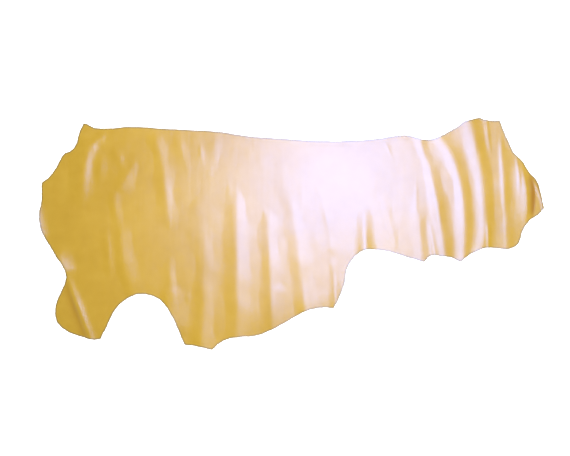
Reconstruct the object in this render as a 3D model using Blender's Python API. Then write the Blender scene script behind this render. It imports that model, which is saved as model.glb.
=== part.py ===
"""A tanned leather side: half of a cattle hide, cut along the backbone, lying loose on a flat surface.

Metres, +Z up. +X runs from the butt to the neck and +Y from the belly to the backbone.
The leather rests on z = 0, and the box round its outline is centred on the origin.
The tables below are in millimetres.
"""

from collections import namedtuple

import bmesh
import bpy
import numpy as np

MM = 0.001

# Driving sizes of the side
THICKNESS = 1.4
SPAN_STEPS = 3          # straight steps between two points of the edge
ROW_PITCH = 46.0        # mesh rows across the side, from belly to backbone
LEAN_ABOUT = 200.0      # the y at which the leaning mesh columns keep their pitch
CUT_TOLERANCE = 0.0001  # points this near to a cutting plane lie on it
SMALLEST_EDGE = 2.0     # points nearer to each other than this become one
CREST_STEPS = 16        # straight steps along a fold's crest
NARROW_END = 0.4        # a fading end is this much of the fold's width

# Colour and finish of the grain side
LEATHER_COLOUR = (0.60, 0.38, 0.07, 1.0)
LEATHER_ROUGHNESS = 0.45

# The edge of the side, clockwise from the ear of the butt, as (x, y) points.
# Each stretch is one smooth curve, and two stretches meet at a corner.
EDGE = {
    "backbone": [(-985, 522), (-965, 517), (-932, 501), (-889, 498), (-775, 506), (-624, 498),
                 (-434, 489), (-315, 478), (-197, 461), (-31, 448), (159, 439), (301, 440),
                 (429, 453), (534, 465), (576, 461), (619, 446), (671, 450)],
    "neck_slope": [(719, 466), (752, 488), (785, 504), (818, 531), (851, 539)],
    "neck_crown": [(889, 551), (922, 538), (960, 536)],
    "neck_end": [(986, 535), (1005, 491), (1032, 427), (1051, 389), (1091, 346), (1124, 296),
                 (1162, 251), (1181, 197)],
    "throat": [(1197, 121), (1164, 84), (1129, 62), (1100, 21), (1084, -28), (1067, -57),
               (1036, -72), (975, -71), (913, -70), (866, -90), (837, -106)],
    "brisket_front": [(799, -135), (752, -113), (709, -107), (657, -108)],
    "brisket_back": [(627, -135), (562, -117), (486, -92), (410, -79), (349, -77), (313, -99),
                     (280, -135), (261, -180), (251, -235), (232, -292)],
    "belly": [(199, -353), (145, -353), (97, -358), (55, -375), (-17, -414), (-92, -456),
              (-168, -484), (-244, -492), (-311, -503), (-344, -524)],
    "flank_tip": [(-375, -551), (-434, -538)],
    "flank_bay": [(-507, -527), (-534, -465), (-567, -389), (-609, -330), (-657, -297),
                  (-704, -288), (-752, -295), (-804, -328), (-847, -379), (-880, -451)],
    "shank": [(-906, -501), (-951, -502), (-1003, -487), (-1065, -463), (-1100, -436),
              (-1119, -394), (-1119, -346), (-1098, -287), (-1074, -228), (-1068, -199),
              (-1086, -149), (-1122, -97), (-1160, -38), (-1189, 33), (-1196, 92), (-1187, 140),
              (-1186, 197)],
    "butt": [(-1184, 241), (-1150, 269), (-1122, 302), (-1098, 349), (-1079, 376), (-1043, 396),
             (-1020, 424), (-1010, 470)],
}

# Mesh columns across the side: from this x on, their pitch, and how far each leans (x per y)
Column = namedtuple("Column", "start pitch lean")
COLUMNS = [
    Column(-1260, 24.0, 0.00),
    Column(-1000, 17.0, 0.00),
    Column(-300, 15.0, -0.02),
    Column(400, 15.0, -0.15),
    Column(560, 13.0, -0.24),
    Column(790, 13.0, -0.16),
    Column(960, 14.0, -0.07),
    Column(1240, 14.0, 0.00),
]

# Folds that lift the leather: the crest runs through three (x, y) points, from the backbone side
# down. height is at those three points, foot is the width of the flank left and right of the crest,
# fade is the length over which each end sinks to the flat, 0 where it runs off the edge, and crest
# is how wide the top is rounded.
Fold = namedtuple("Fold", "name top middle low height foot fade crest")
FOLDS = [
    Fold("neck_tip", (1112, 300), (1169, 205), (1191, 112), (0.6, 2.2, 2.0), (15, 18), (40, 0), 4),
    Fold("neck_throat", (1064, 390), (1113, 205), (1104, 5), (0.3, 7.3, 1.5), (74, 46), (120, 110), 9),
    Fold("neck_end", (986, 535), (1006, 235), (1022, -95), (1.0, 1.9, 0.7), (22, 46), (80, 0), 12),
    Fold("neck_corner", (925, 540), (936, 430), (946, 350), (1.2, 1.4, 0.4), (25, 20), (0, 80), 8),
    Fold("neck_long", (836, 555), (914, 165), (893, -100), (4.2, 4.4, 4.6), (64, 62), (0, 0), 28),
    Fold("neck_slope", (670, 490), (796, 250), (815, -145), (2.6, 5.4, 4.4), (58, 76), (0, 0), 16),
    Fold("neck_root_top", (605, 480), (619, 405), (652, 290), (3.4, 3.0, 0.4), (42, 60), (0, 80), 12),
    Fold("neck_root", (634, 395), (691, 125), (728, -145), (1.4, 6.0, 5.0), (50, 78), (80, 0), 14),
    Fold("brisket_small", (648, 90), (664, 0), (686, -135), (0.8, 2.8, 4.2), (24, 36), (60, 0), 9),
    Fold("brisket", (590, 165), (605, 35), (618, -145), (1.1, 2.7, 2.6), (55, 46), (110, 0), 13),
    Fold("shoulder", (425, 200), (462, 60), (500, -100), (0.8, 1.7, 1.6), (40, 34), (110, 40), 13),
    Fold("foreleg", (345, 175), (345, 30), (350, -105), (1.0, 5.8, 10.5), (62, 66), (100, 0), 16),
    Fold("elbow_upper", (100, 280), (160, 100), (195, -105), (0.5, 1.2, 1.0), (30, 34), (110, 30), 12),
    Fold("elbow_lower", (193, -105), (206, -230), (210, -390), (0.8, 3.4, 4.8), (38, 38), (50, 0), 12),
    Fold("belly_front", (-15, 240), (35, -100), (72, -400), (0.6, 3.7, 6.5), (78, 72), (190, 0), 18),
    Fold("belly_front_top", (45, 245), (48, 170), (45, 90), (0.4, 0.7, 0.4), (35, 40), (60, 60), 12),
    Fold("belly_middle", (-120, 200), (-103, -110), (-89, -475), (0.9, 4.3, 4.8), (68, 72), (150, 0), 14),
    Fold("belly_back", (-272, 285), (-259, -60), (-261, -525), (1.8, 5.6, 4.4), (84, 80), (150, 0), 19),
    Fold("loin", (-235, 480), (-215, 400), (-190, 310), (0.7, 0.6, 0.3), (35, 45), (60, 90), 14),
    Fold("flank", (-466, 140), (-417, -85), (-430, -555), (0.3, 2.4, 7.4), (74, 88), (200, 0), 26),
    Fold("hip_fine", (-436, 440), (-430, 385), (-424, 325), (0.7, 1.3, 0.5), (18, 22), (50, 60), 6),
    Fold("hip", (-552, 475), (-520, 385), (-484, 270), (1.2, 1.8, 0.4), (66, 52), (60, 90), 14),
    Fold("thigh", (-660, 490), (-606, 270), (-580, -40), (2.6, 3.4, 1.3), (72, 64), (60, 120), 17),
    Fold("thigh_low", (-562, -60), (-577, -180), (-557, -330), (0.6, 2.4, 1.4), (45, 50), (90, 60), 18),
    Fold("rump_lower", (-800, 60), (-802, -95), (-750, -310), (1.7, 3.9, 1.6), (50, 72), (90, 0), 24),
    Fold("rump_bend", (-832, 220), (-838, 140), (-816, 5), (1.4, 2.4, 1.4), (40, 50), (40, 90), 20),
    Fold("rump_upper", (-725, 375), (-772, 290), (-832, 190), (1.2, 2.8, 1.8), (54, 60), (60, 30), 20),
    Fold("butt_hook_top", (-850, 462), (-900, 458), (-948, 418), (1.2, 3.0, 3.5), (36, 44), (60, 30), 12),
    Fold("butt_hook", (-937, 450), (-986, 300), (-990, 105), (6.4, 7.5, 3.0), (100, 66), (40, 100), 22),
    Fold("butt_lip", (-1200, 170), (-1206, 85), (-1180, -60), (5.0, 9.0, 7.0), (24, 64), (60, 60), 8),
    Fold("shank_lip", (-1140, -75), (-1082, -155), (-1062, -220), (6.0, 12.0, 7.0), (20, 86), (50, 40), 8),
    Fold("shank", (-1068, -190), (-1025, -310), (-950, -505), (3.0, 6.4, 5.6), (34, 44), (40, 0), 5),
]


def clear_scene():
    for thing in list(bpy.data.objects):
        bpy.data.objects.remove(thing)


def leather_material():
    material = bpy.data.materials.new("grain_leather")
    material.use_nodes = True
    shader = material.node_tree.nodes["Principled BSDF"]
    shader.inputs["Base Color"].default_value = LEATHER_COLOUR
    shader.inputs["Roughness"].default_value = LEATHER_ROUGHNESS
    shader.inputs["Metallic"].default_value = 0.0
    return material


def edge_mesh():
    """The edge as a closed loop of straight steps, read from one smooth curve with corners."""
    curve = bpy.data.curves.new("edge", "CURVE")
    curve.dimensions = "2D"
    curve.fill_mode = "NONE"
    curve.resolution_u = SPAN_STEPS
    points = [(x, y, i == 0) for stretch in EDGE.values() for i, (x, y) in enumerate(stretch)]
    spline = curve.splines.new("BEZIER")
    spline.bezier_points.add(len(points) - 1)
    for knot, (x, y, corner) in zip(spline.bezier_points, points):
        knot.co = (x * MM, y * MM, 0)
        knot.handle_left_type = knot.handle_right_type = "VECTOR" if corner else "AUTO"
    spline.use_cyclic_u = True
    guide = bpy.data.objects.new("edge", curve)
    mesh = guide.to_mesh().copy()
    bpy.data.objects.remove(guide)
    return mesh


def cut(bm, at, across):
    """Cuts every face by an upright plane through the point `at`, with the normal `across`."""
    everything = bm.verts[:] + bm.edges[:] + bm.faces[:]
    bmesh.ops.bisect_plane(
        bm, geom=everything, dist=CUT_TOLERANCE * MM, plane_co=at, plane_no=across
    )


def flat_sheet():
    """The flat side, cut out along its edge and divided into rows and leaning columns."""
    bm = bmesh.new()
    bm.from_mesh(edge_mesh())
    bmesh.ops.contextual_create(bm, geom=bm.edges[:])
    bmesh.ops.recalc_face_normals(bm, faces=bm.faces[:])
    if bm.faces[0].normal.z < 0:
        bmesh.ops.reverse_faces(bm, faces=bm.faces[:])
    reach = max(abs(y) for stretch in EDGE.values() for _, y in stretch)
    for y in np.arange(-reach, reach, ROW_PITCH):
        cut(bm, (0, y * MM, 0), (0, 1, 0))
    starts = [column.start for column in COLUMNS]
    x = starts[0]
    while x < starts[-1]:
        lean = np.interp(x, starts, [column.lean for column in COLUMNS])
        cut(bm, (x * MM, LEAN_ABOUT * MM, 0), (1, -lean, 0))
        x += np.interp(x, starts, [column.pitch for column in COLUMNS])
    bmesh.ops.remove_doubles(bm, verts=bm.verts[:], dist=SMALLEST_EDGE * MM)
    return bm


def smooth_step(share):
    share = np.clip(share, 0, 1)
    return share * share * (3 - 2 * share)


def fold_profile(distance, foot, crest):
    """A fold's height, 1 on its crest line and 0 from its foot on, with a crest rounded so wide."""
    slope = (np.hypot(distance, crest) - crest) / (np.hypot(foot, crest) - crest)
    return np.clip(1 - slope, 0, None) ** 2


def fold_height(fold, points):
    """How far one fold lifts each of the points, which are rows of x and y."""
    t = np.linspace(0, 1, CREST_STEPS + 1)[:, None]
    top, middle, low = (np.array(place, float) for place in (fold.top, fold.middle, fold.low))
    crest = top * (1 - t) * (1 - 2 * t) + middle * 4 * t * (1 - t) + low * t * (2 * t - 1)
    steps = np.diff(crest, axis=0)
    lengths = np.hypot(steps[:, 0], steps[:, 1])
    starts = np.concatenate([[0], np.cumsum(lengths)])
    nearest = np.full(len(points), np.inf)
    along = np.zeros(len(points))
    side = np.zeros(len(points))
    for begin, step, length, start in zip(crest, steps, lengths, starts):
        offset = points - begin
        share = np.clip(offset @ step / length**2, 0, 1)
        gap = offset - share[:, None] * step
        distance = np.hypot(gap[:, 0], gap[:, 1])
        nearer = distance < nearest
        nearest[nearer] = distance[nearer]
        along[nearer] = start + share[nearer] * length
        side[nearer] = (step[0] * gap[:, 1] - step[1] * gap[:, 0])[nearer]
    whole = starts[-1]
    height = np.interp(along, [0, whole / 2, whole], fold.height)
    share = np.ones(len(points))
    for distance, fade in zip((along, whole - along), fold.fade):
        if fade:
            share *= smooth_step(distance / fade)
    foot = np.where(side > 0, fold.foot[1], fold.foot[0])
    narrowing = NARROW_END + (1 - NARROW_END) * share
    return height * share * fold_profile(nearest / narrowing, foot, fold.crest)


def lift_folds(bm):
    points = np.array([vert.co[:2] for vert in bm.verts]) / MM
    lift = sum(fold_height(fold, points) for fold in FOLDS)
    for vert, height in zip(bm.verts, lift):
        vert.co.z = height * MM


def leather_side():
    bm = flat_sheet()
    lift_folds(bm)
    bmesh.ops.triangulate(bm, faces=bm.faces[:])
    mesh = bpy.data.meshes.new("hide")
    bm.to_mesh(mesh)
    bm.free()
    mesh.shade_smooth()
    mesh.materials.append(leather_material())
    side = bpy.data.objects.new("hide", mesh)
    bpy.context.scene.collection.objects.link(side)
    wall = side.modifiers.new("thickness", "SOLIDIFY")
    wall.thickness = THICKNESS * MM
    wall.offset = 1
    wall.use_even_offset = True
    return side


clear_scene()
leather_side()
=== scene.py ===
# %% [markdown]
# # A golden leather side
#
# This lesson dresses one tanned leather side, the half of a cattle hide that a tannery sells,
# cut straight along the backbone. It lies loose on a pale floor, grain side up. The solid model
# gives its size, its edge and its folds. Here the leather gets a finer sheet on the same folds,
# small ripples, creases with painted shade, a raw cut edge, and a grain with a pearly sheen.

# %% The frame: the imported solid model, in metres, with +Z up
from collections import namedtuple

import bmesh
import bpy
import numpy as np
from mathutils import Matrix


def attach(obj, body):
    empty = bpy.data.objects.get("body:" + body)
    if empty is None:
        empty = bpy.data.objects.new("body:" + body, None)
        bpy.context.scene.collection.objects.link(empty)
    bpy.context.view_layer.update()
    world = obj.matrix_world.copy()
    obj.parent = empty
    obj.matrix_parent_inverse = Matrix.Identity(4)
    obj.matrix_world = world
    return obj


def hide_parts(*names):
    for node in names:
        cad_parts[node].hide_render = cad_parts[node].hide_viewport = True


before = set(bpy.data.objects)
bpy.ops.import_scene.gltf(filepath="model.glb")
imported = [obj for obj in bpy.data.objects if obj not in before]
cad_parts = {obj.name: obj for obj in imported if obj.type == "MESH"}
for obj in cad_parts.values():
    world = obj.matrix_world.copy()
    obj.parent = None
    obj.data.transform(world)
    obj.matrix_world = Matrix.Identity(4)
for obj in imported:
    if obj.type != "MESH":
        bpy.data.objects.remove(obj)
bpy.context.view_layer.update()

MM = 0.001

# %% [markdown]
# ## The edge
#
# A side has no two edges alike: the backbone is cut nearly straight with a long knife, and all
# the rest is the animal's own outline, trimmed by hand. It could be drawn as a fan of hundreds
# of points. It is easier to read, and to mend, as a table of stretches from one corner to the
# next, each with only the points that its shape needs.

# %% The edge of the side, clockwise from the ear of the butt, as (x, y) in millimetres
EDGE = {
    "backbone": [(-985, 522), (-965, 517), (-932, 501), (-889, 498), (-775, 506), (-624, 498),
                 (-434, 489), (-315, 478), (-197, 461), (-31, 448), (159, 439), (301, 440),
                 (429, 453), (534, 465), (576, 461), (619, 446), (671, 450)],
    "neck_slope": [(719, 466), (752, 488), (785, 504), (818, 531), (851, 539)],
    "neck_crown": [(889, 551), (922, 538), (960, 536)],
    "neck_end": [(986, 535), (1005, 491), (1032, 427), (1051, 389), (1091, 346), (1124, 296),
                 (1162, 251), (1181, 197)],
    "throat": [(1197, 121), (1164, 84), (1129, 62), (1100, 21), (1084, -28), (1067, -57),
               (1036, -72), (975, -71), (913, -70), (866, -90), (837, -106)],
    "brisket_front": [(799, -135), (752, -113), (709, -107), (657, -108)],
    "brisket_back": [(627, -135), (562, -117), (486, -92), (410, -79), (349, -77), (313, -99),
                     (280, -135), (261, -180), (251, -235), (232, -292)],
    "belly": [(199, -353), (145, -353), (97, -358), (55, -375), (-17, -414), (-92, -456),
              (-168, -484), (-244, -492), (-311, -503), (-344, -524)],
    "flank_tip": [(-375, -551), (-434, -538)],
    "flank_bay": [(-507, -527), (-534, -465), (-567, -389), (-609, -330), (-657, -297),
                  (-704, -288), (-752, -295), (-804, -328), (-847, -379), (-880, -451)],
    "shank": [(-906, -501), (-951, -502), (-1003, -487), (-1065, -463), (-1100, -436),
              (-1119, -394), (-1119, -346), (-1098, -287), (-1074, -228), (-1068, -199),
              (-1086, -149), (-1122, -97), (-1160, -38), (-1189, 33), (-1196, 92), (-1187, 140),
              (-1186, 197)],
    "butt": [(-1184, 241), (-1150, 269), (-1122, 302), (-1098, 349), (-1079, 376), (-1043, 396),
             (-1020, 424), (-1010, 470)],
}
print("edge:", sum(map(len, EDGE.values())), "points in", len(EDGE), "stretches")

# %% [markdown]
# Straight lines between those points would look sawn. A Bezier curve runs smoothly through
# them, as a knife does, and only where two stretches meet do VECTOR handles keep a corner. The
# curve is then read as a closed loop of short straight steps.

# %% The edge as one smooth curve
SPAN_STEPS = 8  # straight steps between two points of the edge


def edge_mesh():
    """The edge as a closed loop of straight steps, read from one smooth curve with corners."""
    curve = bpy.data.curves.new("edge", "CURVE")
    curve.dimensions = "2D"
    curve.fill_mode = "NONE"
    curve.resolution_u = SPAN_STEPS
    points = [(x, y, i == 0) for stretch in EDGE.values() for i, (x, y) in enumerate(stretch)]
    spline = curve.splines.new("BEZIER")
    spline.bezier_points.add(len(points) - 1)
    for knot, (x, y, corner) in zip(spline.bezier_points, points):
        knot.co = (x * MM, y * MM, 0)
        knot.handle_left_type = knot.handle_right_type = "VECTOR" if corner else "AUTO"
    spline.use_cyclic_u = True
    guide = bpy.data.objects.new("edge", curve)
    mesh = guide.to_mesh().copy()
    bpy.data.objects.remove(guide)
    return mesh


smooth_edge = edge_mesh()
print("smooth edge:", len(smooth_edge.vertices), "steps")

# %% [markdown]
# That curve alone would be too clean for a cut made freehand. Three slow sine waves along the
# edge, each under a millimetre high, move its points in and out, and give it the small
# wavering of a knife.

# %% The waver of a knife held by hand
Waver = namedtuple("Waver", "height turns start")  # millimetres, turns for each step, radians
WAVERS = [Waver(0.9, 0.061, 0.0), Waver(0.5, 0.163, 1.3), Waver(0.35, 0.347, 2.1)]


def waver(mesh):
    """Moves each point of the edge a little in or out, as a hand-held knife leaves it."""
    places = np.array([vertex.co[:2] for vertex in mesh.vertices])
    ahead = np.roll(places, -1, axis=0) - np.roll(places, 1, axis=0)
    outward = np.stack([-ahead[:, 1], ahead[:, 0]], axis=1) / np.hypot(*ahead.T)[:, None]
    steps = np.arange(len(places))
    shift = sum(w.height * np.sin(2 * np.pi * w.turns * steps + w.start) for w in WAVERS)
    for vertex, way, distance in zip(mesh.vertices, outward, shift):
        vertex.co.x += way[0] * distance * MM
        vertex.co.y += way[1] * distance * MM
    return mesh


EDGE_LOOP = waver(smooth_edge)
EDGE_POINTS = np.array([vertex.co[:2] for vertex in EDGE_LOOP.vertices]) / MM
print("knife waver: at most", round(sum(w.height for w in WAVERS), 2), "mm")

# %% [markdown]
# ## The flat sheet
#
# The leather is first cut out flat, as it would be on a table, and only then lifted into its
# folds. One big face can't bend, so planes cut it into rows and columns. A plain grid would do
# for a flat sheet. Here the columns lean as the folds do, so that a fold's crest runs along the
# mesh and not across it, which would leave it with teeth.

# %% Rows and leaning columns, in millimetres
ROW_PITCH = 23.0
LEAN_ABOUT = 200.0      # the y at which the leaning columns keep their pitch
CUT_TOLERANCE = 0.0001  # points this near to a cutting plane lie on it
SMALLEST_EDGE = 1.2     # points nearer to each other than this become one
Column = namedtuple("Column", "start pitch lean")  # from this x on: the pitch, and x for each y
COLUMNS = [
    Column(-1260, 11.0, 0.00),
    Column(-300, 11.0, -0.02),
    Column(400, 10.0, -0.15),
    Column(560, 9.0, -0.24),
    Column(790, 9.0, -0.16),
    Column(960, 9.0, -0.07),
    Column(1240, 9.0, 0.00),
]


def cut(bm, at, across):
    """Cuts every face by an upright plane through the point `at`, with the normal `across`."""
    everything = bm.verts[:] + bm.edges[:] + bm.faces[:]
    bmesh.ops.bisect_plane(
        bm, geom=everything, dist=CUT_TOLERANCE * MM, plane_co=at, plane_no=across
    )


def flat_sheet():
    """The flat side, cut out along its edge and divided into rows and leaning columns."""
    bm = bmesh.new()
    bm.from_mesh(EDGE_LOOP)
    bmesh.ops.contextual_create(bm, geom=bm.edges[:])
    bm.normal_update()
    if bm.faces[0].normal.z < 0:
        bmesh.ops.reverse_faces(bm, faces=bm.faces[:])
    reach = np.abs(EDGE_POINTS[:, 1]).max()
    for y in np.arange(-reach, reach, ROW_PITCH):
        cut(bm, (0, y * MM, 0), (0, 1, 0))
    starts = [column.start for column in COLUMNS]
    x = starts[0]
    while x < starts[-1]:
        lean = np.interp(x, starts, [column.lean for column in COLUMNS])
        cut(bm, (x * MM, LEAN_ABOUT * MM, 0), (1, -lean, 0))
        x += np.interp(x, starts, [column.pitch for column in COLUMNS])
    bmesh.ops.remove_doubles(bm, verts=bm.verts[:], dist=SMALLEST_EDGE * MM)
    return bm


coarse = flat_sheet()
print("cut sheet:", len(coarse.faces), "faces")

# %% [markdown]
# Cutting with twice as many planes would take much longer. One subdivision of the SIMPLE kind
# gives the finer mesh at once: it halves every face both ways, and moves nothing.

# %% Halving every face
def halved(bm):
    """The same flat sheet with every face parted into quads, by one plain subdivision."""
    mesh = bpy.data.meshes.new("flat")
    bm.to_mesh(mesh)
    bm.free()
    guide = bpy.data.objects.new("flat", mesh)
    bpy.context.scene.collection.objects.link(guide)
    finer = guide.modifiers.new("finer", "SUBSURF")
    finer.subdivision_type = "SIMPLE"
    finer.levels = finer.render_levels = 1
    result = bpy.data.meshes.new_from_object(
        guide.evaluated_get(bpy.context.evaluated_depsgraph_get())
    )
    bpy.data.objects.remove(guide)
    bm = bmesh.new()
    bm.from_mesh(result)
    return bm


bm = halved(coarse)
FLAT_AREA = sum(face.calc_area() for face in bm.faces)
print("flat sheet:", len(bm.faces), "faces,", round(FLAT_AREA, 3), "square metres")

# %% [markdown]
# ## The folds
#
# Leather that is unrolled on a floor keeps long ripples: narrow rounded crests with broad flat
# valleys between them, strongest at the neck and the belly, where the skin is loose. A cloth
# simulation could make ripples, but not these ripples. So each fold is a row in a table, laid
# where the real one lies: three points of its crest, its height at each, the width of
# each flank, how each end fades out and how wide the top is rounded.

# %% The main folds, which the solid model has too
Fold = namedtuple("Fold", "name top middle low height foot fade crest")
FOLDS = [
    Fold("neck_tip", (1112, 300), (1169, 205), (1191, 112), (0.6, 2.2, 2.0), (15, 18), (40, 0), 4),
    Fold("neck_throat", (1064, 390), (1113, 205), (1104, 5), (0.3, 7.3, 1.5), (74, 46), (120, 110), 9),
    Fold("neck_end", (986, 535), (1006, 235), (1022, -95), (1.0, 1.9, 0.7), (22, 46), (80, 0), 12),
    Fold("neck_corner", (925, 540), (936, 430), (946, 350), (1.2, 1.4, 0.4), (25, 20), (0, 80), 8),
    Fold("neck_long", (836, 555), (914, 165), (893, -100), (4.2, 4.4, 4.6), (64, 62), (0, 0), 28),
    Fold("neck_slope", (670, 490), (796, 250), (815, -145), (2.6, 5.4, 4.4), (58, 76), (0, 0), 16),
    Fold("neck_root_top", (605, 480), (619, 405), (652, 290), (3.4, 3.0, 0.4), (42, 60), (0, 80), 12),
    Fold("neck_root", (634, 395), (691, 125), (728, -145), (1.4, 6.0, 5.0), (50, 78), (80, 0), 14),
    Fold("brisket_small", (648, 90), (664, 0), (686, -135), (0.8, 2.8, 4.2), (24, 36), (60, 0), 9),
    Fold("brisket", (590, 165), (605, 35), (618, -145), (1.1, 2.7, 2.6), (55, 46), (110, 0), 13),
    Fold("shoulder", (425, 200), (462, 60), (500, -100), (0.8, 1.7, 1.6), (40, 34), (110, 40), 13),
    Fold("foreleg", (345, 175), (345, 30), (350, -105), (1.0, 5.8, 10.5), (62, 66), (100, 0), 16),
    Fold("elbow_upper", (100, 280), (160, 100), (195, -105), (0.5, 1.2, 1.0), (30, 34), (110, 30), 12),
    Fold("elbow_lower", (193, -105), (206, -230), (210, -390), (0.8, 3.4, 4.8), (38, 38), (50, 0), 12),
    Fold("belly_front", (-15, 240), (35, -100), (72, -400), (0.6, 3.7, 6.5), (78, 72), (190, 0), 18),
    Fold("belly_front_top", (45, 245), (48, 170), (45, 90), (0.4, 0.7, 0.4), (35, 40), (60, 60), 12),
    Fold("belly_middle", (-120, 200), (-103, -110), (-89, -475), (0.9, 4.3, 4.8), (68, 72), (150, 0), 14),
    Fold("belly_back", (-272, 285), (-259, -60), (-261, -525), (1.8, 5.6, 4.4), (84, 80), (150, 0), 19),
    Fold("loin", (-235, 480), (-215, 400), (-190, 310), (0.7, 0.6, 0.3), (35, 45), (60, 90), 14),
    Fold("flank", (-466, 140), (-417, -85), (-430, -555), (0.3, 2.4, 7.4), (74, 88), (200, 0), 26),
    Fold("hip_fine", (-436, 440), (-430, 385), (-424, 325), (0.7, 1.3, 0.5), (18, 22), (50, 60), 6),
    Fold("hip", (-552, 475), (-520, 385), (-484, 270), (1.2, 1.8, 0.4), (66, 52), (60, 90), 14),
    Fold("thigh", (-660, 490), (-606, 270), (-580, -40), (2.6, 3.4, 1.3), (72, 64), (60, 120), 17),
    Fold("thigh_low", (-562, -60), (-577, -180), (-557, -330), (0.6, 2.4, 1.4), (45, 50), (90, 60), 18),
    Fold("rump_lower", (-800, 60), (-802, -95), (-750, -310), (1.7, 3.9, 1.6), (50, 72), (90, 0), 24),
    Fold("rump_bend", (-832, 220), (-838, 140), (-816, 5), (1.4, 2.4, 1.4), (40, 50), (40, 90), 20),
    Fold("rump_upper", (-725, 375), (-772, 290), (-832, 190), (1.2, 2.8, 1.8), (54, 60), (60, 30), 20),
    Fold("butt_hook_top", (-850, 462), (-900, 458), (-948, 418), (1.2, 3.0, 3.5), (36, 44), (60, 30), 12),
    Fold("butt_hook", (-937, 450), (-986, 300), (-990, 105), (6.4, 7.5, 3.0), (100, 66), (40, 100), 22),
    Fold("butt_lip", (-1200, 170), (-1206, 85), (-1180, -60), (5.0, 9.0, 7.0), (24, 64), (60, 60), 8),
    Fold("shank_lip", (-1140, -75), (-1082, -155), (-1062, -220), (6.0, 12.0, 7.0), (20, 86), (50, 40), 8),
    Fold("shank", (-1068, -190), (-1025, -310), (-950, -505), (3.0, 6.4, 5.6), (34, 44), (40, 0), 5),
]
print("main folds:", len(FOLDS), "with crests up to", max(max(f.height) for f in FOLDS), "mm")

# %% [markdown]
# Between and beside the main folds lie smaller ones: short ripples, dents and soft rises, which
# show only where the sheen catches them. They could be painted on as a bump, but a real rise
# also shows from the side. So they are rows of the same kind, and only this finer sheet has them.

# %% The small ripples
RIPPLES = [
    Fold("throat_small", (1060, 380), (1076, 290), (1078, 170), (0.5, 1.1, 0.6), (16, 16), (50, 60), 5),
    Fold("shoulder_top", (425, 455), (458, 405), (490, 325), (0.4, 0.6, 0.3), (16, 14), (50, 60), 5),
    Fold("belly_streak", (-190, 225), (-152, 150), (-118, 55), (0.4, 0.9, 0.6), (24, 30), (60, 50), 8),
    Fold("neck_soft", (580, 375), (592, 205), (570, 25), (0.6, 0.8, 0.7), (25, 20), (90, 90), 8),
    Fold("belly_dent", (10, -270), (-45, -270), (-110, -265), (0.5, 1.1, 0.5), (44, 56), (50, 50), 15),
    Fold("belly_back_top", (-310, 330), (-300, 235), (-295, 140), (0.7, 1.1, 0.7), (35, 45), (70, 80), 12),
    Fold("flank_pimple", (-494, -275), (-490, -302), (-494, -340), (0.4, 0.9, 0.4), (20, 22), (25, 30), 8),
    Fold("belly_front_low", (84, -170), (94, -250), (108, -350), (0.4, 1.3, 1.6), (26, 60), (50, 0), 8),
    Fold("hip_mark", (-538, 230), (-536, 190), (-534, 140), (0.5, 1.0, 0.5), (26, 32), (40, 40), 8),
    Fold("loin_soft", (-395, 320), (-385, 255), (-385, 180), (0.4, 0.6, 0.4), (30, 40), (60, 60), 12),
    Fold("loin_low", (-370, 480), (-365, 395), (-365, 290), (0.4, 0.6, 0.3), (30, 40), (60, 90), 12),
    Fold("butt_soft", (-908, 415), (-908, 330), (-908, 215), (0.9, 3.2, 0.8), (40, 50), (70, 80), 14),
    Fold("butt_cross", (-855, 430), (-825, 370), (-780, 280), (0.6, 1.8, 0.6), (34, 40), (60, 60), 12),
    Fold("neck_long_low", (925, 70), (931, -10), (932, -95), (1.0, 1.8, 1.6), (14, 20), (50, 0), 4),
    Fold("flank_low", (-600, -235), (-588, -320), (-570, -440), (1.0, 5.0, 5.6), (40, 140), (60, 0), 18),
    Fold("rump_soft", (-885, 45), (-870, -80), (-858, -260), (0.8, 2.0, 1.1), (44, 38), (90, 90), 14),
]
print("small ripples:", len(RIPPLES))

# %% [markdown]
# Where the leather turns over steeply, at the neck tip and along the shank, its creases and the
# rim of the tip lie in shade that these low folds can't cast. That shade is painted into the
# colour. The dark places are rows of the same kind too, only with a share of painted shade in
# place of a height.

# %% The creases and the rim of the tip, with painted shade that makes them darker than the rest of the grain side
SHADED_CREASES = [
    Fold("tip_crease", (1118, 305), (1147, 195), (1136, 55), (0.5, 1.2, 0.7), (34, 15), (60, 60), 11),
    Fold("tip_rim", (1126, 300), (1173, 228), (1199, 121), (0.7, 1.0, 0.9), (17, 17), (40, 30), 9),
    Fold("shank_crease", (-1078, -205), (-1044, -310), (-972, -505), (0.2, 0.5, 0.3), (44, 16), (40, 0), 10),
]
print("dark creases:", len(SHADED_CREASES))

# %% [markdown]
# ## From a row to a height
#
# A crest is a gentle curve through its three points, cut into short straight steps. Across it,
# the fold has one profile. A sine would be as broad at the foot as on the crest, but leather
# isn't: it bends tightly on the crest and runs out in a long soft foot.

# %% The crest and the profile of a fold
CREST_STEPS = 16  # straight steps along a crest
NARROW_END = 0.4  # a fading end is this much of the fold's width


def smooth_step(share):
    share = np.clip(share, 0, 1)
    return share * share * (3 - 2 * share)


def crest_line(fold):
    t = np.linspace(0, 1, CREST_STEPS + 1)[:, None]
    top, middle, low = (np.array(place, float) for place in (fold.top, fold.middle, fold.low))
    return top * (1 - t) * (1 - 2 * t) + middle * 4 * t * (1 - t) + low * t * (2 * t - 1)


def fold_profile(distance, foot, crest):
    """A fold's height, 1 on its crest line and 0 from its foot on, with a crest rounded so wide."""
    slope = (np.hypot(distance, crest) - crest) / (np.hypot(foot, crest) - crest)
    return np.clip(1 - slope, 0, None) ** 2


# %% [markdown]
# For each point of the sheet, what counts is the nearest place on the crest. The distance to
# it picks a height on the profile. The way along the crest picks how high the fold is there,
# and how far its end has faded. A sculpting brush could pull up such a ridge too, but its
# strokes can't be read or corrected later.

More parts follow.
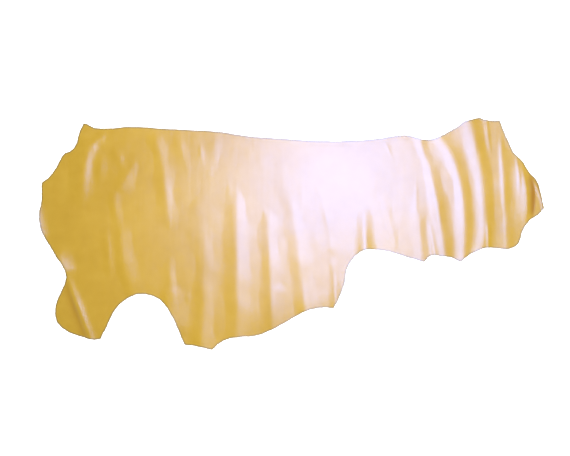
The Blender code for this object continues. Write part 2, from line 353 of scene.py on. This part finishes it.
# %% How far a fold lifts each point
def nearest_on(line, points):
    """Distance to a line of straight steps, the way along it, and above 0 for its right side."""
    steps = np.diff(line, axis=0)
    lengths = np.hypot(steps[:, 0], steps[:, 1])
    starts = np.concatenate([[0], np.cumsum(lengths)])
    nearest = np.full(len(points), np.inf)
    along = np.zeros(len(points))
    side = np.zeros(len(points))
    for begin, step, length, start in zip(line, steps, lengths, starts):
        offset = points - begin
        share = np.clip(offset @ step / length**2, 0, 1)
        gap = offset - share[:, None] * step
        distance = np.hypot(gap[:, 0], gap[:, 1])
        nearer = distance < nearest
        nearest[nearer] = distance[nearer]
        along[nearer] = start + share[nearer] * length
        side[nearer] = (step[0] * gap[:, 1] - step[1] * gap[:, 0])[nearer]
    return nearest, along, side, starts[-1]


def fold_height(fold, points):
    """How far one fold lifts each of the points, which are rows of x and y."""
    line = crest_line(fold)
    reach = max(fold.foot)
    inside = ((points > line.min(axis=0) - reach) & (points < line.max(axis=0) + reach)).all(axis=1)
    nearest, along, side, whole = nearest_on(line, points[inside])
    height = np.interp(along, [0, whole / 2, whole], fold.height)
    share = np.ones(len(along))
    for distance, fade in zip((along, whole - along), fold.fade):
        if fade:
            share *= smooth_step(distance / fade)
    foot = np.where(side > 0, fold.foot[1], fold.foot[0])
    narrowing = NARROW_END + (1 - NARROW_END) * share
    lift = np.zeros(len(points))
    lift[inside] = height * share * fold_profile(nearest / narrowing, foot, fold.crest)
    return lift


# %% [markdown]
# ## Slow unevenness
#
# Between its folds a skin is never a mirror: it was thicker over the back and looser at the
# flank, and it dried on a toggle frame. Noise would be uneven in the same way everywhere. A few
# long, low waves at odd angles look more like skin. Each is half a millimetre high at most,
# yet they decide how the sheen breaks up.

# %% Long low waves, in millimetres and degrees
Wave = namedtuple("Wave", "length angle height")
WAVES = [
    Wave(430, 20, 0.5),
    Wave(310, 75, 0.4),
    Wave(240, 140, 0.4),
    Wave(170, 100, 0.22),
    Wave(120, 35, 0.16),
    Wave(85, 165, 0.10),
]
WAVE_BEND = 0.9    # radians by which the front of a wave is bent
BEND_LENGTH = 1.7  # the length of that bend, as a share of the wave's own length
WAVE_SHIFT = 2.4   # radians from the start of one wave to the start of the next


def wave_height(points):
    total = np.zeros(len(points))
    for i, wave in enumerate(WAVES):
        turn = np.radians(wave.angle)
        way = points @ np.array([np.cos(turn), np.sin(turn)])
        across = points @ np.array([-np.sin(turn), np.cos(turn)])
        bend = WAVE_BEND * np.sin(across * 2 * np.pi / (wave.length * BEND_LENGTH) + i)
        total += wave.height * np.sin(way * 2 * np.pi / wave.length + bend + WAVE_SHIFT * i)
    return total


print("low waves: together at most", round(sum(wave.height for wave in WAVES), 2), "mm")

# %% [markdown]
# The floor stops the leather from sinking. Where a wave dips below it, the sheet lies flat. A
# plain cut at zero would leave a line there that the sheen shows, so each rise starts gently.

# %% Lying on the floor
EASE = 0.3  # millimetres of height over which a rise gets going


def settled(lift, ease):
    """Leather that would hang below the floor lies on it, with an eased start to each rise."""
    lift = np.clip(lift, 0, None)
    return np.where(lift < ease, lift**2 / (2 * ease), lift - ease / 2)


# %% [markdown]
# ## Thickness and lift
#
# Leather is a thin slab. The flat sheet is extruded by its thickness, which leaves the wall
# upright all round, as a knife held upright cuts it. Solidify is quicker, but it leans the wall
# wherever a fold runs off the edge. Then each point, above and below, rises by the folds and
# waves at its place. Two numbers are kept for the materials: how far a point is from the edge,
# for the band of painted shade along it, and how much painted shade a crease gives it.

# %% Giving the sheet its thickness, and lifting it
THICKNESS = 1.4  # millimetres


def lifted(bm):
    """The sheet with a wall of leather's thickness, its underside on the folds or on the floor."""
    bm.normal_update()
    rise = bmesh.ops.extrude_face_region(bm, geom=bm.faces[:], use_keep_orig=True)
    upper = [item for item in rise["geom"] if isinstance(item, bmesh.types.BMVert)]
    bmesh.ops.translate(bm, verts=upper, vec=(0, 0, THICKNESS * MM))
    bmesh.ops.recalc_face_normals(bm, faces=bm.faces[:])
    points = np.array([vert.co[:2] for vert in bm.verts]) / MM
    lift = sum(fold_height(fold, points) for fold in FOLDS + RIPPLES)
    lift = settled(lift + wave_height(points), EASE)
    to_edge = nearest_on(np.vstack([EDGE_POINTS, EDGE_POINTS[:1]]), points)[0]
    # painted shade: how far each point in the creases and on the tip's rim is painted darker
    crease = sum(fold_height(fold, points) for fold in SHADED_CREASES)
    for vert, height in zip(bm.verts, lift):
        vert.co.z += height * MM
    return lift, to_edge, crease


LIFT, TO_EDGE, CREASE_SHADE = lifted(bm)
print("highest fold:", round(LIFT.max(), 1), "mm")

# %% [markdown]
# ## One object, three finishes
#
# The grain side, the flesh side and the cut edge are one piece of leather, so they stay one
# mesh. Three objects could be dressed more simply, but seams would show between them. The way
# that a face points tells which finish it gets, and the two kept numbers become attributes of
# the mesh, which a material can read.

# %% The leather side as an object
GRAIN, FLESH, CUT = range(3)  # the places of the three materials
FACING = 0.5                  # how far up or down a normal points on the grain and flesh sides
SHARP_ANGLE = 50              # degrees past which two faces meet in a sharp line


def leather_object(bm):
    for face in bm.faces:
        face.smooth = True
        up = face.normal.z
        face.material_index = GRAIN if up > FACING else FLESH if up < -FACING else CUT
    mesh = bpy.data.meshes.new("leather_side")
    bm.to_mesh(mesh)
    bm.free()
    # the crease attribute carries the painted shade of the creases to the grain side
    for name, values in (("to_edge", TO_EDGE), ("crease", CREASE_SHADE)):
        layer = mesh.attributes.new(name, "FLOAT", "POINT")
        layer.data.foreach_set("value", values.astype(np.float32))
    mesh.set_sharp_from_angle(angle=np.radians(SHARP_ANGLE))
    side = bpy.data.objects.new("leather_side", mesh)
    bpy.context.scene.collection.objects.link(side)
    return side


side = leather_object(bm)
print("leather side:", len(side.data.polygons), "faces")

# %% [markdown]
# ## Leather materials
#
# The grain side is a gold tan with a lavender pearl finish: where it mirrors the lamp it turns
# from gold to a pinkish white. The flesh side is pale, matt suede, and the cut edge shows the
# darker fibres between the two. Their node trees could be wired up in the editor. In a script,
# a few helpers keep each material short enough to read.

# %% Helpers that place and link nodes
def feed(links, socket, value):
    """Gives a socket a plain value, or links it where the value is another node's output."""
    if isinstance(value, bpy.types.NodeSocket):
        links.new(value, socket)
    else:
        socket.default_value = value


def here(nodes):
    return nodes.new("ShaderNodeTexCoord").outputs["Object"]


def math(nodes, links, operation, first, second=0.0):
    node = nodes.new("ShaderNodeMath")
    node.operation = operation
    for socket, value in zip(node.inputs, (first, second)):
        feed(links, socket, value)
    return node.outputs[0]


def noise(nodes, links, where, scale, detail, roughness=0.5):
    node = nodes.new("ShaderNodeTexNoise")
    node.inputs["Detail"].default_value = detail
    node.inputs["Roughness"].default_value = roughness
    feed(links, node.inputs["Scale"], scale)
    feed(links, node.inputs["Vector"], where)
    return node.outputs["Fac"]


def spread(nodes, links, value, low, high, to_low=0.0, to_high=1.0):
    """A soft step from one value to another while the input goes from low to high."""
    node = nodes.new("ShaderNodeMapRange")
    node.interpolation_type = "SMOOTHSTEP"
    for socket, number in zip(node.inputs[1:5], (low, high, to_low, to_high)):
        socket.default_value = number
    feed(links, node.inputs["Value"], value)
    return node.outputs["Result"]


# %% [markdown]
# What two materials share, such as grain, is wired once as a node group, and each material
# places it with values of its own. Copies of the nodes would do the same, until one is changed.

# %% Helpers for node groups
def new_group(name, inputs, outputs):
    """An empty node group with float inputs and the given outputs, and its two end nodes."""
    group = bpy.data.node_groups.new(name, "ShaderNodeTree")
    for socket, value in inputs.items():
        made = group.interface.new_socket(socket, in_out="INPUT", socket_type="NodeSocketFloat")
        made.default_value = value
    for socket, kind in outputs.items():
        group.interface.new_socket(socket, in_out="OUTPUT", socket_type=kind)
    return group, group.nodes.new("NodeGroupInput"), group.nodes.new("NodeGroupOutput")


def placed(nodes, group, **values):
    node = nodes.new("ShaderNodeGroup")
    node.node_tree = group
    for name, value in values.items():
        node.inputs[name.replace("_", " ")].default_value = value
    return node.outputs[0]


# %% [markdown]
# Grain is the pattern of pebbles and fine lines that the hair follicles leave. Noise alone would
# look like dough. Voronoi cells make pebbles with cracks between them, and their size and
# the depth of the fine noise on top are inputs, so that the grain side can have them fine and
# the flesh side can use the same group as a nap.

# %% Node group: leather grain as a height
CRACK_WIDTH = 0.35   # as a share of a pebble
FINE_SCALE = 1500.0  # noise cells in a metre


def grain_group():
    group, given, out = new_group(
        "leather_grain", {"Pebble size": 1.6 * MM, "Fine": 0.35}, {"Height": "NodeSocketFloat"}
    )
    nodes, links = group.nodes, group.links
    where = here(nodes)
    scale = math(nodes, links, "DIVIDE", 1.0, given.outputs["Pebble size"])
    pebble = nodes.new("ShaderNodeTexVoronoi")
    pebble.feature = "DISTANCE_TO_EDGE"
    links.new(where, pebble.inputs["Vector"])
    links.new(scale, pebble.inputs["Scale"])
    crack = spread(nodes, links, pebble.outputs["Distance"], 0.0, CRACK_WIDTH)
    fine = noise(nodes, links, where, FINE_SCALE, detail=2.0)
    both = math(nodes, links, "MULTIPLY", fine, given.outputs["Fine"])
    links.new(math(nodes, links, "ADD", crack, both), out.inputs["Height"])
    return group


GRAIN_GROUP = grain_group()
print("node group:", GRAIN_GROUP.name, "with", len(GRAIN_GROUP.nodes), "nodes")

# %% [markdown]
# A skin takes up dye unevenly: in broad clouds, where it was loose or tight, and in soft patches
# a few centimetres wide. Two noises of those sizes, each with its own strength, add up to one
# tone around 0. Painted patches would stop at some edge, and noise has none.

# %% Node group: cloudy tone, as a skin takes up dye
BROAD_SCALE = 3.2   # broad clouds in a metre
CLOSE_SCALE = 22.0  # small patches in a metre
NOISE_MIDDLE = 0.5  # a noise swings round this value


def cloud_group():
    group, given, out = new_group(
        "cloudy_tone", {"Broad": 1.0, "Close": 1.0}, {"Tone": "NodeSocketFloat"}
    )
    nodes, links = group.nodes, group.links
    where = here(nodes)
    broad = noise(nodes, links, where, BROAD_SCALE, detail=3.0)
    close = noise(nodes, links, where, CLOSE_SCALE, detail=1.0, roughness=0.4)
    broad = math(nodes, links, "SUBTRACT", broad, NOISE_MIDDLE)
    close = math(nodes, links, "SUBTRACT", close, NOISE_MIDDLE)
    broad = math(nodes, links, "MULTIPLY", broad, given.outputs["Broad"])
    close = math(nodes, links, "MULTIPLY", close, given.outputs["Close"])
    links.new(math(nodes, links, "ADD", broad, close), out.inputs["Tone"])
    return group


CLOUD_GROUP = cloud_group()
print("node group:", CLOUD_GROUP.name, "with", len(CLOUD_GROUP.nodes), "nodes")

# %% [markdown]
# A glossy finish also shows what is too low to model: faint streaks that run with the folds,
# from the rollers and the stretching frame, and small specks. The streaks are noise that a
# Mapping node draws out lengthwise and turns a little. The specks are the peaks of a second,
# finer noise.

# %% Node group: faint streaks along the folds, and specks
STREAK_STRETCH = 0.12       # a streak's width, as a share of its length
STREAK_TURN = 0.10          # radians
SPECK_SCALE = 160.0         # noise cells in a metre
SPECK_PEAKS = (0.60, 0.72)  # noise values between which a speck comes up


def streak_group():
    group, given, out = new_group(
        "streaks_and_specks",
        {"Streak pitch": 20 * MM},
        {"Height": "NodeSocketFloat", "Specks": "NodeSocketFloat"},
    )
    nodes, links = group.nodes, group.links
    where = here(nodes)
    drawn_out = nodes.new("ShaderNodeMapping")
    drawn_out.inputs["Scale"].default_value = (1.0, STREAK_STRETCH, 1.0)
    drawn_out.inputs["Rotation"].default_value = (0.0, 0.0, STREAK_TURN)
    links.new(where, drawn_out.inputs["Vector"])
    scale = math(nodes, links, "DIVIDE", 1.0, given.outputs["Streak pitch"])
    streaks = noise(nodes, links, drawn_out.outputs["Vector"], scale, detail=2.0)
    links.new(streaks, out.inputs["Height"])
    specks = noise(nodes, links, where, SPECK_SCALE, detail=3.0, roughness=0.6)
    links.new(spread(nodes, links, specks, *SPECK_PEAKS), out.inputs["Specks"])
    return group


STREAK_GROUP = streak_group()
print("node group:", STREAK_GROUP.name, "with", len(STREAK_GROUP.nodes), "nodes")

# %% [markdown]
# A material starts from the Principled shader. Its colour is laid on in coats, as a finisher
# does it, and each coat is one mix. Its fine relief is a bump, because pebbles of a millimetre
# would take millions of faces.

# %% Helpers for a material: coats of colour, relief and the kept numbers
def new_material(name):
    material = bpy.data.materials.new(name)
    material.use_nodes = True
    nodes, links = material.node_tree.nodes, material.node_tree.links
    return material, nodes, links, nodes["Principled BSDF"]


def mix(nodes, links, factor, first, second):
    node = nodes.new("ShaderNodeMix")
    node.data_type = "RGBA"
    sockets = {socket.identifier: socket for socket in node.inputs}
    feed(links, sockets["Factor_Float"], factor)
    feed(links, sockets["A_Color"], first)
    feed(links, sockets["B_Color"], second)
    return next(socket for socket in node.outputs if socket.identifier == "Result_Color")


def bump(nodes, links, height, strength, distance, normal=None):
    node = nodes.new("ShaderNodeBump")
    node.inputs["Strength"].default_value = strength
    node.inputs["Distance"].default_value = distance
    links.new(height, node.inputs["Height"])
    if normal is not None:
        links.new(normal, node.inputs["Normal"])
    return node.outputs["Normal"]


def attribute(nodes, name):
    node = nodes.new("ShaderNodeAttribute")
    node.attribute_name = name
    return node.outputs["Fac"]


# %% [markdown]
# The grain side gets a gold that the clouds make paler or deeper, then specks, painted shade in
# the creases, and an olive band of painted shade along the edge. A pearl finish could be a
# second coat over the gold. A tinted specular lobe does it with less: the gold stays gold where
# it mirrors nothing, and turns to pinkish white where it mirrors the lamp. The roughness is the
# same all over, because even a small change in it shows as spots in so strong a sheen.

# %% Grain side: gold tan with a lavender pearl finish
GOLD = (0.384, 0.236, 0.018, 1.0)
DEEP_GOLD = (0.358, 0.216, 0.014, 1.0)
PALE_GOLD = (0.407, 0.256, 0.024, 1.0)
TONE_OVERLAP = 0.05  # how far past the middle tone the pale and the deep gold both reach
TONE_REACH = 0.30    # the tone at which either gold is full
SPECK = (0.341, 0.200, 0.012, 1.0)
SPECK_SHARE = 0.2
# The next colour is painted shade for the steep creases and the rim of the neck tip.
CREASE_SHADE_BROWN = (0.270, 0.130, 0.004, 1.0)
# The next colour, widths and share are painted shade: an olive band along the whole edge.
RIM_SHADE_OLIVE = (0.190, 0.140, 0.045, 1.0)
RIM_SHADE_WIDTH = (9.0, 3.5)  # millimetres from the edge: where the rim begins, and where it is full
RIM_SHADE_SHARE = 0.8
PEARL_TINT = (0.27, 0.42, 1.0, 1.0)
PEARL_IOR = 1.8
PEARL_ROUGHNESS = 0.269
GRAIN_DEPTH = 0.2    # millimetres
STREAK_DEPTH = 0.42  # millimetres


def grain_side():
    material, nodes, links, shader = new_material("grain_side")
    cloud = placed(nodes, CLOUD_GROUP, Broad=1.0, Close=0.4)
    pale = spread(nodes, links, cloud, -TONE_OVERLAP, TONE_REACH)
    colour = mix(nodes, links, pale, GOLD, PALE_GOLD)
    deep = spread(nodes, links, cloud, TONE_OVERLAP, -TONE_REACH)
    colour = mix(nodes, links, deep, colour, DEEP_GOLD)
    streaks = placed(nodes, STREAK_GROUP, Streak_pitch=22 * MM)
    specks = math(nodes, links, "MULTIPLY", streaks.node.outputs["Specks"], SPECK_SHARE)
    colour = mix(nodes, links, specks, colour, SPECK)
    # painted shade: the creases and the tip's rim are mixed towards brown
    colour = mix(nodes, links, attribute(nodes, "crease"), colour, CREASE_SHADE_BROWN)
    # painted shade: the grain side turns olive towards its edge
    edge_shade = spread(nodes, links, attribute(nodes, "to_edge"), *RIM_SHADE_WIDTH, 0.0, RIM_SHADE_SHARE)
    colour = mix(nodes, links, edge_shade, colour, RIM_SHADE_OLIVE)
    links.new(colour, shader.inputs["Base Color"])
    height = placed(nodes, GRAIN_GROUP, Pebble_size=1.6 * MM, Fine=0.35)
    grain = bump(nodes, links, height, strength=0.25, distance=GRAIN_DEPTH * MM)
    relief = bump(nodes, links, streaks, strength=1.0, distance=STREAK_DEPTH * MM, normal=grain)
    links.new(relief, shader.inputs["Normal"])
    shader.inputs["Roughness"].default_value = PEARL_ROUGHNESS
    shader.inputs["IOR"].default_value = PEARL_IOR
    shader.inputs["Specular Tint"].default_value = PEARL_TINT
    return material


side.data.materials.append(grain_side())
print("grain side:", len(side.data.materials[GRAIN].node_tree.nodes), "nodes")

# %% [markdown]
# The flesh side was split and sanded, and stays suede: pale, matt, with a short nap. Hair could
# stand for the nap, but it is under a millimetre long, so the grain group in a smaller size,
# a high roughness and a little sheen do it.

# %% Flesh side: pale suede
SUEDE = (0.50, 0.37, 0.20, 1.0)
SUEDE_DARK = (0.38, 0.27, 0.13, 1.0)
SUEDE_REACH = 0.3  # the tone at which either colour is full
NAP_DEPTH = 0.3    # millimetres
NAP_ROUGHNESS = 0.95
NAP_SHEEN = 0.4


def flesh_side():
    material, nodes, links, shader = new_material("flesh_side")
    cloud = placed(nodes, CLOUD_GROUP, Broad=1.0, Close=1.4)
    light = spread(nodes, links, cloud, -SUEDE_REACH, SUEDE_REACH)
    links.new(mix(nodes, links, light, SUEDE_DARK, SUEDE), shader.inputs["Base Color"])
    height = placed(nodes, GRAIN_GROUP, Pebble_size=0.9 * MM, Fine=2.0)
    nap = bump(nodes, links, height, strength=0.6, distance=NAP_DEPTH * MM)
    links.new(nap, shader.inputs["Normal"])
    shader.inputs["Roughness"].default_value = NAP_ROUGHNESS
    shader.inputs["Sheen Weight"].default_value = NAP_SHEEN
    return material


side.data.materials.append(flesh_side())
print("flesh side:", len(side.data.materials[FLESH].node_tree.nodes), "nodes")

# %% [markdown]
# A knife lays bare the fibres inside, which are darker than either side and never polished.
# They are far too thin to model on a wall of 1.4 mm, so a fine, rough noise gives both their
# tone and their relief.

# %% Cut edge: bare fibres
FIBRE = (0.23, 0.165, 0.060, 1.0)
FIBRE_DARK = (0.11, 0.080, 0.030, 1.0)
FIBRE_SCALE = 700.0         # noise cells in a metre
FIBRE_TONES = (0.35, 0.65)  # noise values of the darkest and the lightest fibres
FIBRE_DEPTH = 0.3           # millimetres
FIBRE_ROUGHNESS = 0.85


def cut_edge():
    material, nodes, links, shader = new_material("cut_edge")
    fibres = noise(nodes, links, here(nodes), FIBRE_SCALE, detail=4.0, roughness=0.7)
    light = spread(nodes, links, fibres, *FIBRE_TONES)
    links.new(mix(nodes, links, light, FIBRE_DARK, FIBRE), shader.inputs["Base Color"])
    relief = bump(nodes, links, fibres, strength=0.8, distance=FIBRE_DEPTH * MM)
    links.new(relief, shader.inputs["Normal"])
    shader.inputs["Roughness"].default_value = FIBRE_ROUGHNESS
    return material


side.data.materials.append(cut_edge())
print("materials:", [material.name for material in side.data.materials])

# %% [markdown]
# ## The floor
#
# The side lies on a plain pale floor, which isn't part of the object. A floor that only gives
# back light would need strong lamps to come out white, and they would wash out the gold. So it
# glows a little by itself, and it has no gloss, so that it mirrors neither leather nor lamps.

# %% Floor
FLOOR_HALF = 14.0  # metres
FLOOR_TONE = (0.90, 0.90, 0.90, 1.0)
FLOOR_GLOW = 0.6
WHITE = (1.0, 1.0, 1.0, 1.0)


def floor_object():
    bm = bmesh.new()
    bmesh.ops.create_grid(bm, x_segments=1, y_segments=1, size=FLOOR_HALF)
    mesh = bpy.data.meshes.new("floor")
    bm.to_mesh(mesh)
    bm.free()
    floor = bpy.data.objects.new("floor", mesh)
    bpy.context.scene.collection.objects.link(floor)
    material, *_, shader = new_material("pale_floor")
    shader.inputs["Base Color"].default_value = FLOOR_TONE
    shader.inputs["Roughness"].default_value = 1.0
    shader.inputs["Specular IOR Level"].default_value = 0.0
    shader.inputs["Emission Color"].default_value = WHITE
    shader.inputs["Emission Strength"].default_value = FLOOR_GLOW
    mesh.materials.append(material)
    return floor


floor = floor_object()
print("floor:", 2 * FLOOR_HALF, "m wide")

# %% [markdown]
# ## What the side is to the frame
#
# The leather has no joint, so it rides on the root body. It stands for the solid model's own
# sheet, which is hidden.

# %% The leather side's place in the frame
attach(side, "root")
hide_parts("hide")
print("declared:", side.name, "for the node hide, laid on the floor")

# %% [markdown]
# ## Camera and light
#
# The camera looks straight down from 3 m, and its picture is 2.70 m wide on the floor. A longer
# lens from further off would show the outline just as well, but the sheen is a mirror image of
# the lamp, so its place depends on where the eye is.

# %% Camera straight above, with the framing of the photograph
PICTURE_WIDTH = 2.7035      # metres
EYE = (-0.031, 0.026, 3.0)  # metres
SENSOR = 36.0               # millimetres


def camera_above():
    data = bpy.data.cameras.new("camera")
    data.sensor_width = SENSOR
    data.lens = SENSOR * EYE[2] / PICTURE_WIDTH
    camera = bpy.data.objects.new("camera", data)
    camera.location = EYE
    bpy.context.scene.collection.objects.link(camera)
    bpy.context.scene.camera = camera
    return camera


print("camera: lens", round(camera_above().data.lens, 1), "mm")

# %% [markdown]
# One soft lamp hangs a little higher than the camera, over the neck: a broad disk with a brighter
# middle. Its mirror image is the big bright patch on the shoulder, so that patch comes out of
# the sheen and not out of the colour. A weaker lamp over the loin brightens the gold there and
# isn't mirrored.

# %% A soft lamp with a brighter middle, and a weaker one
LAMP_AT = (0.647, 0.528, 3.6)
FILL_AT = (-0.28, 0.06, 1.9)
Disk = namedtuple("Disk", "name place size power mirrored")  # metres and watts
DISKS = [
    Disk("lamp_middle", LAMP_AT, 1.5, 84.0, True),
    Disk("lamp_rim", LAMP_AT, 2.7, 157.0, True),
    Disk("fill", FILL_AT, 1.2, 21.0, False),
]


def soft_light():
    for disk in DISKS:
        data = bpy.data.lights.new(disk.name, "AREA")
        data.shape = "DISK"
        data.size = disk.size
        data.energy = disk.power
        lamp = bpy.data.objects.new(disk.name, data)
        lamp.location = disk.place
        lamp.visible_glossy = disk.mirrored
        bpy.context.scene.collection.objects.link(lamp)


soft_light()
print("lamps:", {disk.name: disk.power for disk in DISKS}, "W")

# %% [markdown]
# A glossy sheet shows the room. From above it mirrors the ceiling, and from low down the walls.
# So the room has a dim ceiling, and bright walls with dim gaps between them: a fold that leans
# a little mirrors another part of them, and so it shows from the sides too. Light Path tells
# what a ray is for, so that the walls are bright in the gloss only, and the background stays
# one pale tone.

# %% The room
CEILING = 0.16    # brightness, as for the walls and the background
WALLS = 2.2
WALL_TOP = 0.85   # the sine of the angle above the floor at which the walls have faded out
WALL_FULL = 0.45  # the sine of the angle at which they are at their brightest
WALL_COUNT = 9    # bright walls round the room
WALL_TURN = 0.6   # radians by which the first wall is turned
GAP_SHARE = 0.08  # brightness of the gaps, as a share of the walls
BACKGROUND = 0.86


def pale_room():
    world = bpy.data.worlds.new("pale_room")
    world.use_nodes = True
    nodes, links = world.node_tree.nodes, world.node_tree.links
    ray = nodes.new("ShaderNodeLightPath")
    way = nodes.new("ShaderNodeSeparateXYZ")
    links.new(nodes.new("ShaderNodeTexCoord").outputs["Generated"], way.inputs[0])
    walls = spread(nodes, links, way.outputs["Z"], WALL_TOP, WALL_FULL, CEILING, WALLS)
    turn = math(nodes, links, "ARCTAN2", way.outputs["Y"], way.outputs["X"])
    turn = math(nodes, links, "MULTIPLY", math(nodes, links, "ADD", turn, WALL_TURN), WALL_COUNT)
    swing = math(nodes, links, "SINE", turn)
    share = spread(nodes, links, swing, -1.0, 1.0, GAP_SHARE, 1.0)
    walls = math(nodes, links, "MULTIPLY", walls, share)
    walls = math(nodes, links, "MAXIMUM", walls, CEILING)
    extra = math(nodes, links, "SUBTRACT", walls, CEILING)
    extra = math(nodes, links, "MULTIPLY", extra, ray.outputs["Is Glossy Ray"])
    seen = math(nodes, links, "MULTIPLY", ray.outputs["Is Camera Ray"], BACKGROUND - CEILING)
    total = math(nodes, links, "ADD", math(nodes, links, "ADD", extra, seen), CEILING)
    background = nodes["Background"]
    background.inputs["Color"].default_value = WHITE
    links.new(total, background.inputs["Strength"])
    bpy.context.scene.world = world
    bpy.context.scene.view_settings.view_transform = "Standard"


pale_room()
print("room:", WALL_COUNT, "bright walls under a dim ceiling")
